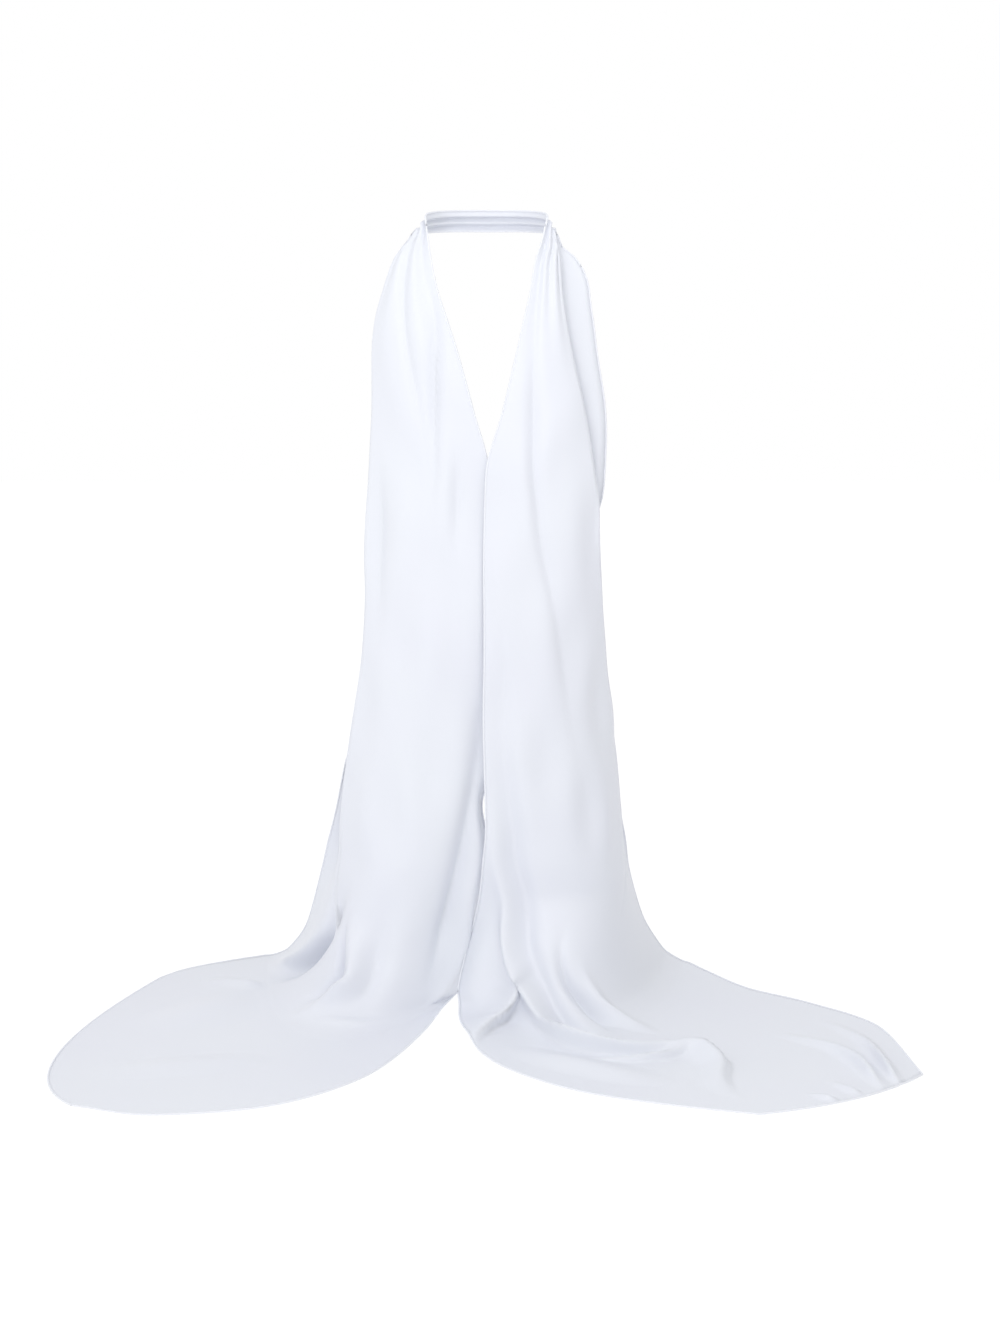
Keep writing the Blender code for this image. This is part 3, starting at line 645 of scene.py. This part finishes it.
def white_satin(name, roughness, darker, lighter):
    """White silk satin: fine threads along the strip as bump, a soft sheen and faint cloudy tint."""
    material = bpy.data.materials.new(name)
    material.use_nodes = True
    nodes, links = material.node_tree.nodes, material.node_tree.links
    shader = nodes["Principled BSDF"]
    shader.inputs["Roughness"].default_value = roughness
    shader.inputs["Specular IOR Level"].default_value = SATIN_SPECULAR
    shader.inputs["Sheen Weight"].default_value = SHEEN_WEIGHT
    shader.inputs["Sheen Roughness"].default_value = SHEEN_ROUGHNESS
    shader.inputs["Sheen Tint"].default_value = SHEEN_TINT

    place = nodes.new("ShaderNodeUVMap")
    place.uv_map = "Cloth"
    threads = stretched_noise(nodes, links, place.outputs["UV"], THREAD_CELLS, THREAD_DETAIL)
    slubs = stretched_noise(nodes, links, place.outputs["UV"], SLUB_CELLS, SLUB_DETAIL)
    height = nodes.new("ShaderNodeMath")
    height.operation = "MULTIPLY_ADD"
    height.inputs[1].default_value = SLUB_SHARE
    links.new(slubs, height.inputs[0])
    links.new(threads, height.inputs[2])
    bump = nodes.new("ShaderNodeBump")
    bump.inputs["Strength"].default_value = THREAD_BUMP
    bump.inputs["Distance"].default_value = THREAD_HEIGHT
    links.new(height.outputs["Value"], bump.inputs["Height"])
    links.new(bump.outputs["Normal"], shader.inputs["Normal"])

    around = nodes.new("ShaderNodeTexCoord")
    cloud = nodes.new("ShaderNodeTexNoise")
    cloud.inputs["Scale"].default_value = CLOUD_CELLS
    cloud.inputs["Detail"].default_value = CLOUD_DETAIL
    links.new(around.outputs["Object"], cloud.inputs["Vector"])
    tint = nodes.new("ShaderNodeMix")
    tint.data_type = "RGBA"
    tint.inputs[6].default_value = (*darker, 1.0)
    tint.inputs[7].default_value = (*lighter, 1.0)
    links.new(cloud.outputs["Fac"], tint.inputs[0])
    links.new(tint.outputs[2], shader.inputs["Base Color"])
    return material


def strip_rows(end):
    """Rows along half the strip, closer together where it meets the floor."""
    runs = []
    for start, stop, step in ROW_STEPS:
        stop = stop or end
        runs.append(np.linspace(start, stop, int(round((stop - start) / step)), endpoint=False))
    return np.concatenate([*runs, [end]])


def soft_range(nodes, links, value, start_stop, from_to):
    """A value carried smoothly from one range to another."""
    span = nodes.new("ShaderNodeMapRange")
    span.interpolation_type = "SMOOTHSTEP"
    span.inputs["From Min"].default_value, span.inputs["From Max"].default_value = start_stop
    span.inputs["To Min"].default_value, span.inputs["To Max"].default_value = from_to
    links.new(value, span.inputs["Value"])
    return span.outputs["Result"]


def studio():
    """A grey floor that glows white, a white world, and three large soft lights: front left, overhead and front.

    The world's light is weaker from above and from the right, but the camera sees it as plain white.
    """
    signs = ((-1.0, -1.0), (1.0, -1.0), (1.0, 1.0), (-1.0, 1.0))
    corners = np.array([[x * FLOOR_HALF, y * FLOOR_HALF, -NECK_HEIGHT] for x, y in signs])
    floor = mesh_object("floor", corners, np.array([[0, 1, 2, 3]]))
    material = bpy.data.materials.new("floor")
    material.use_nodes = True
    shader = material.node_tree.nodes["Principled BSDF"]
    shader.inputs["Base Color"].default_value = FLOOR_GREY
    shader.inputs["Roughness"].default_value = FLOOR_ROUGHNESS
    shader.inputs["Specular IOR Level"].default_value = FLOOR_SPECULAR
    shader.inputs["Emission Color"].default_value = WHITE
    shader.inputs["Emission Strength"].default_value = FLOOR_GLOW
    floor.data.materials.append(material)

    world = bpy.data.worlds.new("studio")
    world.use_nodes = True
    nodes, links = world.node_tree.nodes, world.node_tree.links
    direction = nodes.new("ShaderNodeTexCoord")
    axes = nodes.new("ShaderNodeSeparateXYZ")
    links.new(direction.outputs["Generated"], axes.inputs["Vector"])
    softer_above = soft_range(nodes, links, axes.outputs["Z"], *SOFTER_ABOVE)
    softer_right = soft_range(nodes, links, axes.outputs["X"], *SOFTER_RIGHT)
    strength = nodes.new("ShaderNodeMath")
    strength.operation = "MULTIPLY"
    links.new(softer_above, strength.inputs[0])
    links.new(softer_right, strength.inputs[1])
    shown = nodes.new("ShaderNodeMath")
    shown.operation = "MAXIMUM"
    links.new(strength.outputs["Value"], shown.inputs[0])
    links.new(nodes.new("ShaderNodeLightPath").outputs["Is Camera Ray"], shown.inputs[1])
    links.new(shown.outputs["Value"], nodes["Background"].inputs["Strength"])
    nodes["Background"].inputs["Color"].default_value = WHITE
    bpy.context.scene.world = world
    for row in LIGHTS:
        part = dict(zip(LIGHT_COLUMNS, row))
        light = bpy.data.lights.new(part["name"], "AREA")
        light.size = part["width"]
        light.energy = part["power"]
        lamp = bpy.data.objects.new(part["name"], light)
        lamp.location = part["place"]
        aim = np.array(LIGHTS_AIM) - np.array(part["place"])
        flat = math.hypot(aim[0], aim[1])
        lamp.rotation_euler = (math.atan2(flat, -aim[2]), 0.0, math.atan2(-aim[0], aim[1]))
        bpy.context.scene.collection.objects.link(lamp)


def photo_camera():
    """The camera at the photograph's angle: 3.8 m in front, looking down by 9.4 degrees."""
    camera = bpy.data.cameras.new("camera")
    camera.lens = PHOTO_LENS
    camera.sensor_width = SENSOR
    view = bpy.data.objects.new("camera", camera)
    view.location = PHOTO_PLACE
    view.rotation_euler = (math.radians(90.0 - PHOTO_TILT), 0.0, 0.0)
    bpy.context.scene.collection.objects.link(view)
    bpy.context.scene.camera = view


def main():
    """Both halves of the scarf, their hems, the studio and the camera."""
    satin = white_satin("white_satin", *SATIN_LOOK)
    # the hem's satin is lighter than the strip's: a painted highlight along the rolled edge
    hem_painted_highlight_satin = white_satin("hem_painted_highlight_satin", *HEM_PAINTED_HIGHLIGHT_LOOK)
    halves = {
        "left": (-1.0, LEFT_FALL, LEFT_TRAIN, LEFT_FOLDS),
        "right": (1.0, RIGHT_FALL, RIGHT_TRAIN, RIGHT_FOLDS),
    }
    ends = {}
    for name, half in halves.items():
        ends[name] = half_surface(*half, strip_rows(half[2][-1][0]))
    strip = np.concatenate([ends["left"][::-1], ends["right"][1:]])
    silk = silk_sheet("silk", strip, satin)
    hem = rolled_hem("rolled_hem", strip, hem_painted_highlight_satin)
    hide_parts("nape", "left_fall", "left_train", "right_fall", "right_train")
    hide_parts("left_hem", "right_hem")
    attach(silk, "root")
    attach(hem, "root")
    studio()
    photo_camera()
    bpy.context.scene.view_settings.view_transform = "Standard"


main()
